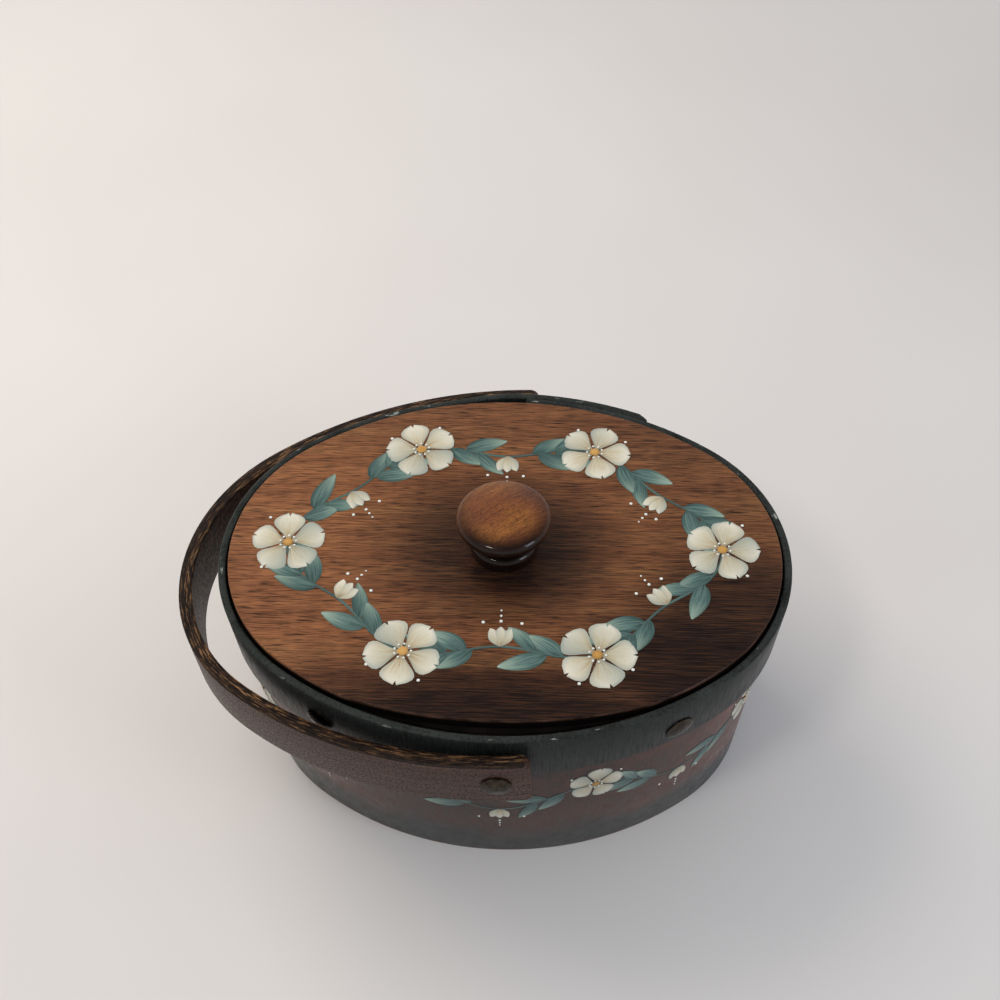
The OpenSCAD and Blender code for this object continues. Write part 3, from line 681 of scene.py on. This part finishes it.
# Artist's oil paint under varnish: bristle marks along each stroke, thin and darker towards its edges
def brushedPaint(name, stops, edgeColour, bristleColour, shadeColour):
    material, tree = newMaterial(name)
    brush = addNode(tree, "Attribute", {"attribute_name": "brush"}).outputs["Vector"]
    parts = addNode(tree, "SeparateXYZ", {}, {0: brush})
    # bristle marks about 1 mm wide on a petal, with each stroke's own draw to set it apart
    bristles = addNode(tree, "TexNoise", {}, {
        "Vector": addNode(tree, "Mapping", {}, {"Vector": brush, "Scale": (2.2, 7, 31)}),
        "Scale": 1.0, "Detail": 4})
    marks = addNode(tree, "MapRange", {}, {
        "Value": bristles, "From Min": 0.42, "From Max": 0.66, "To Max": 0.55})
    shifted = addNode(tree, "MapRange", {}, {
        "Value": bristles, "From Min": 0.3, "From Max": 0.7, "To Min": -0.16, "To Max": 0.16})
    tone = addNode(tree, "ValToRGB", {"stops": stops}, {"Fac": addNode(
        tree, "Math", {"operation": "ADD"}, {0: parts.outputs["X"], 1: shifted})})
    side = addNode(tree, "Math", {"operation": "ABSOLUTE"}, {0: parts.outputs["Y"]})
    leaning = addNode(tree, "MapRange", {}, {
        "Value": parts.outputs["Y"], "From Min": -1.0, "To Max": 0.8})
    shade = addNode(tree, "Math", {"operation": "MULTIPLY"}, {0: leaning, 1: parts.outputs["Z"]})
    dressSurface(tree, {
        "Base Color": stainLayers(tree, tone, [
            (marks, bristleColour),
            (shade, shadeColour),
            (addNode(tree, "MapRange", {}, {"Value": side, "From Min": 0.55, "To Max": 0.6}), edgeColour),
        ]),
        "Roughness": addNode(tree, "MapRange", {}, {"Value": bristles, "To Min": 0.3, "To Max": 0.5}),
        "Specular IOR Level": 0.35,
        "Coat Weight": 0.15,
        "Coat Roughness": 0.15,
        "Normal": addNode(tree, "Bump", {}, {"Height": bristles, "Distance": 0.06 * mm}),
    })
    return material


leafPaint = brushedPaint("sage green paint", [(0.0, "#263c3c"), (0.45, "#4f6c69"), (1.0, "#9bb0a0")],
                         "#2c4644", "#72908a", "#2b4444")
stemPaint = brushedPaint("dark green paint", [(0.0, "#2c4241"), (1.0, "#506b67")],
                         "#223635", "#6f8883", "#2c4241")
petalPaint = brushedPaint("cream paint",
                          [(0.0, "#8a6a3c"), (0.3, "#b9ad8e"), (0.7, "#d2cdba"), (1.0, "#dfdccf")],
                          "#8d9893", "#bfc0b1", "#8f9a92")
heartPaint = brushedPaint("ochre paint", [(0.0, "#7a5426"), (1.0, "#c1924b")],
                          "#6b481f", "#d0a864", "#7a5426")
dotPaint = brushedPaint("white paint", [(0.0, "#cdd3cf"), (1.0, "#e3e6e0")],
                        "#b9c2bd", "#eceeea", "#c5ccc8")


def paintSheet():
    bm = bmesh.new()
    bm.verts.layers.float_vector.new("brush")
    return bm


def brushStroke(bm, place, size, belly, curl=0.0, notch=0.0):
    # one stroke, a grid drawn out to a blade; "brush" keeps the way along it, across it and a draw
    brush = bm.verts.layers.float_vector["brush"]
    length, width = size
    draw = draws.random()
    for vert in bmesh.ops.create_grid(bm, x_segments=9, y_segments=4, size=1)["verts"]:
        along = (vert.co.x + 1) / 2
        across = vert.co.y
        swell = math.sin(math.pi * along ** belly) ** 0.8
        blade = paintLook["bluntEnd"] + (1 - paintLook["bluntEnd"]) * swell
        reach = along - notch * (1 - abs(across)) * along ** 6
        vert[brush] = (along, across, draw)
        vert.co = place @ Vector((
            reach * length, across * width / 2 * blade + curl * length * along * along,
            paintLook["crown"] * blade * (1 - across * across)))


def paintDot(bm, place, radius):
    # one drop of paint, a low round bead
    brush = bm.verts.layers.float_vector["brush"]
    draw = draws.random()
    for vert in bmesh.ops.create_uvsphere(bm, u_segments=10, v_segments=6, radius=1)["verts"]:
        vert[brush] = (vert.co.z / 2 + 0.5, 0, draw)
        flattened = Vector((radius, radius, paintLook["dotHeight"]))
        vert.co = place @ (vert.co * flattened)


def turned(degrees, out=0.0, layer=0):
    # a turn in the painted surface, then a step along it and up by layers of paint
    step = Matrix.Translation((out, 0, layer * paintLook["layer"]))
    return Matrix.Rotation(math.radians(degrees), 4, "Z") @ step


def paintBlossom(petals, hearts, dots, crest, look):
    # broad petals laid one over the next, with a heart on them and a ring of dots round it
    tilt = draws.uniform(*paintLook["tilt"])
    for k in range(paintLook["petals"]):
        wide = look["petal"][1] * draws.uniform(*paintLook["uneven"])
        heading = 90 + tilt + 360 / paintLook["petals"] * k
        root = turned(heading, look["heart"] * paintLook["petalRoot"], paintLook["petalLayer"] + k)
        brushStroke(petals, crest @ root, (look["petal"][0], wide), paintLook["petalBelly"],
                    notch=paintLook["petalNotch"])
    paintDot(hearts, crest @ turned(0, 0, paintLook["heartLayer"]), look["heart"])
    for k in range(paintLook["anthers"]):
        heading = 360 / paintLook["anthers"] * k
        spot = turned(heading, look["heart"] * paintLook["antherRing"], paintLook["heartLayer"])
        paintDot(dots, crest @ spot, look["dot"] * paintLook["antherSize"])


def paintBud(petals, dots, hollow, look):
    # a fan of strokes that hangs from the stem, and a row of smaller and smaller dots beyond it
    for k, fan in enumerate(paintLook["budFan"]):
        root = turned(fan - 90, 0, paintLook["petalLayer"] + k)
        brushStroke(petals, hollow @ root, look["bud"], paintLook["budBelly"],
                    curl=paintLook["budCurlPerDegree"] * fan)
    for k in range(paintLook["budDots"]):
        away = look["bud"][0] * (paintLook["budDotAway"] + paintLook["budDotStep"] * k)
        spot = turned(-90, away, paintLook["petalLayer"])
        paintDot(dots, hollow @ spot, look["dot"] * (1 - paintLook["budDotShrink"] * k))


def paintGarland(place, length, look):
    # a waving stem with blossoms on its crests, buds in its hollows and leaves between
    stems, leaves, petals, hearts, dots = [paintSheet() for _ in range(5)]
    step = length / look["waves"]
    swing = look["swing"]

    def wave(part):
        return swing * math.sin(math.tau * part)

    brush = stems.verts.layers.float_vector["brush"]
    segments = 30 * look["waves"]
    for vert in bmesh.ops.create_grid(stems, x_segments=segments, y_segments=2, size=1)["verts"]:
        along = (vert.co.x + 1) / 2 * length
        across = vert.co.y
        height = paintLook["crown"] * (1 - across * across)
        vert[brush] = (along / step % 1, across, 0.5)
        offset = wave(along / step - 0.25) + across * look["stem"] / 2
        vert.co = place(along, offset) @ Vector((0, 0, height))
    for i in range(look["waves"]):
        start = (i + 0.25) * step
        paintBlossom(petals, hearts, dots, place(start + step / 4, wave(0.25)), look)
        paintBud(petals, dots, place(start + step * 3 / 4, wave(0.75)), look)
        for part, side, turn, size in leafPlan:
            slope = math.degrees(math.atan(wave(part + 0.25) * math.tau / step))
            spot = place(start + part * step, wave(part))
            leafSize = (look["leaf"][0] * size * draws.uniform(*paintLook["uneven"]), look["leaf"][1] * size)
            heading = slope + side * turn
            brushStroke(leaves, spot @ turned(heading, 0, paintLook["leafLayer"]), leafSize,
                        paintLook["leafBelly"], curl=paintLook["leafCurl"] * side)
        for part, side in dotPlan:
            away = side * look["petal"][0] * paintLook["dotAway"]
            spot = place(start + part * step, wave(part) + away)
            paintDot(dots, spot @ turned(0, 0, paintLook["petalLayer"]), look["dot"])
    return stems, leaves, petals, hearts, dots


def finishPaint(sheets, body, name, bend=None):
    # bends the strokes where the surface is round, closes them underneath and adds them as pieces
    finishes = {"stem": stemPaint, "leaves": leafPaint, "petals": petalPaint, "hearts": heartPaint,
                "dots": dotPaint}
    for bm, (part, finish) in zip(sheets, finishes.items()):
        if bend is not None:
            bend(bm)
        bmesh.ops.remove_doubles(bm, verts=bm.verts, dist=mergeDistance)
        bmesh.ops.recalc_face_normals(bm, faces=bm.faces)
        if part not in ("hearts", "dots"):
            bmesh.ops.solidify(bm, geom=bm.faces[:], thickness=paintLook["film"])
            bmesh.ops.recalc_face_normals(bm, faces=bm.faces)
        addPiece(bm, name + "_" + part, [finish], body)


wreathOval = {
    "halfLength": lidOval["halfLength"] - lidGarland["inset"],
    "halfDepth": (lidHigh.y - lidLow.y) / 2 - lidGarland["inset"],
    "shift": (lidHigh.y + lidLow.y) / 2,
}


def onLid(along, across):
    # a place on the lid's top: along the wreath, out from it, and up
    point, angle = onOval(wreathOval, along, across)
    lift = Vector((0, 0, lidHigh.z + paintLook["lift"]))
    return Matrix.Translation(point + lift) @ Matrix.Rotation(angle - math.pi / 2, 4, "Z")


def onWall(along, across):
    # the wall laid flat: along it, up it, and outwards
    out = paintLook["lift"] - hoopLook["thickness"]
    height = wallGarland["height"] + across
    return Matrix(((1, 0, 0, along), (0, 0, 1, out), (0, 1, 0, height), (0, 0, 0, 1)))


finishPaint(paintGarland(onLid, ovalLength(wreathOval), lidGarland), "lid", "lid_garland")
finishPaint(paintGarland(onWall, perimeter, wallGarland), "bucket", "wall_garland",
            lambda bm: bendRound(bm, bodyOval, lean))
print("garlands painted")


# Aged bronze: dark brown patina, rubbed brighter in patches, dull gloss
def agedBronze():
    material, tree = newMaterial("aged bronze")
    patina = grain(tree, "object", (3, 3, 3), 4, 0.35, 0.7)
    pits = grain(tree, "object", (0.7, 0.7, 0.7), 2, 0.5, 0.7)
    tone = addNode(tree, "ValToRGB", {"stops": [(0.0, "#241f1a"), (1.0, "#4b4339")]}, {"Fac": patina})
    dressSurface(tree, {
        "Base Color": tone,
        "Metallic": 1.0,
        "Roughness": addNode(tree, "MapRange", {}, {"Value": patina, "To Min": 0.36, "To Max": 0.22}),
        "Normal": addNode(tree, "Bump", {}, {"Height": pits, "Distance": -0.03 * mm}),
    })
    return material


# Vegetable-tanned leather: warm brown and matt, its pores drawn coarser than real ones, so that they show
def tannedLeather():
    material, tree = newMaterial("tanned leather")
    pores = grain(tree, "object", (0.8, 0.8, 0.8), 3, 0.4, 0.65)
    tone = addNode(tree, "ValToRGB", {"stops": [(0.0, "#3a2517"), (1.0, "#5c3e28")]}, {"Fac": pores})
    dressSurface(tree, {
        "Base Color": tone,
        "Roughness": addNode(tree, "MapRange", {}, {"Value": pores, "To Min": 0.7, "To Max": 0.58}),
        "Normal": addNode(tree, "Bump", {}, {"Height": pores, "Distance": 0.05 * mm}),
    })
    return material


# The CAD nodes that stay
bronze = agedBronze()
keptFinishes = {
    # the ledge under the lid takes the near-black painted shade
    "base_board": innerFinish, "lid_ledge": gapShadeFinish,
    "pivot_washer_front": tannedLeather(), "pivot_washer_back": tannedLeather(),
}
for name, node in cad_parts.items():
    node.data.materials.clear()
    node.data.materials.append(keptFinishes.get(name, bronze))
print("metal and inner pieces finished")


backdrop = {"colour": "#d6d6d4", "strength": 0.95, "near": 550 * mm, "far": 1700 * mm, "reach": 6000 * mm}


def showPaleBackdrop(tree, lit, seen, part=1.0):
    # shows one shader to the camera, in gloss and through glass, and leaves the other to light the scene
    path = addNode(tree, "LightPath")
    shown = addNode(tree, "Math", {"operation": "MAXIMUM"}, {
        0: path.outputs["Is Camera Ray"], 1: path.outputs["Is Glossy Ray"]})
    shown = addNode(tree, "Math", {"operation": "MAXIMUM"}, {
        0: shown, 1: path.outputs["Is Transmission Ray"]})
    shown = addNode(tree, "Math", {"operation": "MULTIPLY"}, {0: shown, 1: part})
    return addNode(tree, "MixShader", {}, {0: shown, 1: lit, 2: seen})


# Pale floor, matt with a faint unevenness, fading into the backdrop away from the bucket
def paleFloor():
    material, tree = newMaterial("pale floor")
    clouds = grain(tree, "object", (300, 300, 300), 2, 0.3, 0.7)
    tone = addNode(tree, "ValToRGB", {"stops": [(0.0, "#d4d2d2"), (1.0, "#d9d8d8")]}, {"Fac": clouds})
    matt = addNode(tree, "BsdfPrincipled", {}, {
        "Base Color": tone, "Roughness": 0.6, "Specular IOR Level": 0.3})
    away = addNode(tree, "VectorMath", {"operation": "LENGTH"}, {
        0: addNode(tree, "TexCoord").outputs["Object"]})
    faded = addNode(tree, "MapRange", {"interpolation_type": "SMOOTHSTEP"}, {
        "Value": away.outputs["Value"], "From Min": backdrop["near"], "From Max": backdrop["far"]})
    glow = addNode(tree, "Emission", {}, {
        "Color": linear(backdrop["colour"]), "Strength": backdrop["strength"]})
    addNode(tree, "OutputMaterial", {}, {"Surface": showPaleBackdrop(tree, matt, glow, faded)})
    return material


floorMesh = bmesh.new()
bmesh.ops.create_circle(floorMesh, cap_ends=True, radius=backdrop["reach"], segments=96)
mesh = bpy.data.meshes.new("floor")
floorMesh.to_mesh(mesh)
floorMesh.free()
mesh.materials.append(paleFloor())
floor = bpy.data.objects.new("floor", mesh)
scene.collection.objects.link(floor)

# Soft light: a world that is pale at the horizon and dimmer above and in front, and three lamps
world = bpy.data.worlds.new("studio")
scene.world = world
world.use_nodes = True
sky = world.node_tree
sky.nodes.clear()
heading = addNode(sky, "SeparateXYZ", {}, {0: addNode(sky, "TexCoord").outputs["Generated"]})
fade = addNode(sky, "MapRange", {}, {
    "Value": heading.outputs["Z"], "From Min": 0.15, "From Max": 0.75,
    "To Min": backdrop["strength"], "To Max": 0.25})
seen = addNode(sky, "Background", {}, {"Color": linear(backdrop["colour"]), "Strength": fade})
facing = addNode(sky, "MapRange", {}, {
    "Value": heading.outputs["Y"], "From Min": -1.0, "To Min": 0.44, "To Max": 0.78})
lit = addNode(sky, "Background", {}, {"Color": linear("#eceef2"), "Strength": facing})
addNode(sky, "OutputWorld", {}, {"Surface": showPaleBackdrop(sky, lit, seen)})

lamps = {
    # name: place and target in mm, size in mm, power in watts, colour
    "window high": ((-400, -480, 1100), (0, 0, 100), 190, 2.4, "#fff6ea"),
    "window right": ((900, -500, 700), (0, 0, 100), 380, 3.0, "#f0f4ff"),
    "side light": ((-700, 560, 950), (0, 0, 60), 850, 9.5, "#fff1df"),
}
for name, (place, target, size, power, tint) in lamps.items():
    lampData = bpy.data.lights.new(name, "AREA")
    lampData.size = size * mm
    lampData.energy = power
    lampData.color = linear(tint)[:3]
    lamp = bpy.data.objects.new(name, lampData)
    scene.collection.objects.link(lamp)
    lamp.location = [c * mm for c in place]
    lamp.visible_glossy = name != "side light"
    aim = Vector(target) - Vector(place)
    lamp.rotation_euler = aim.to_track_quat("-Z", "Y").to_euler()
print("floor and light set")
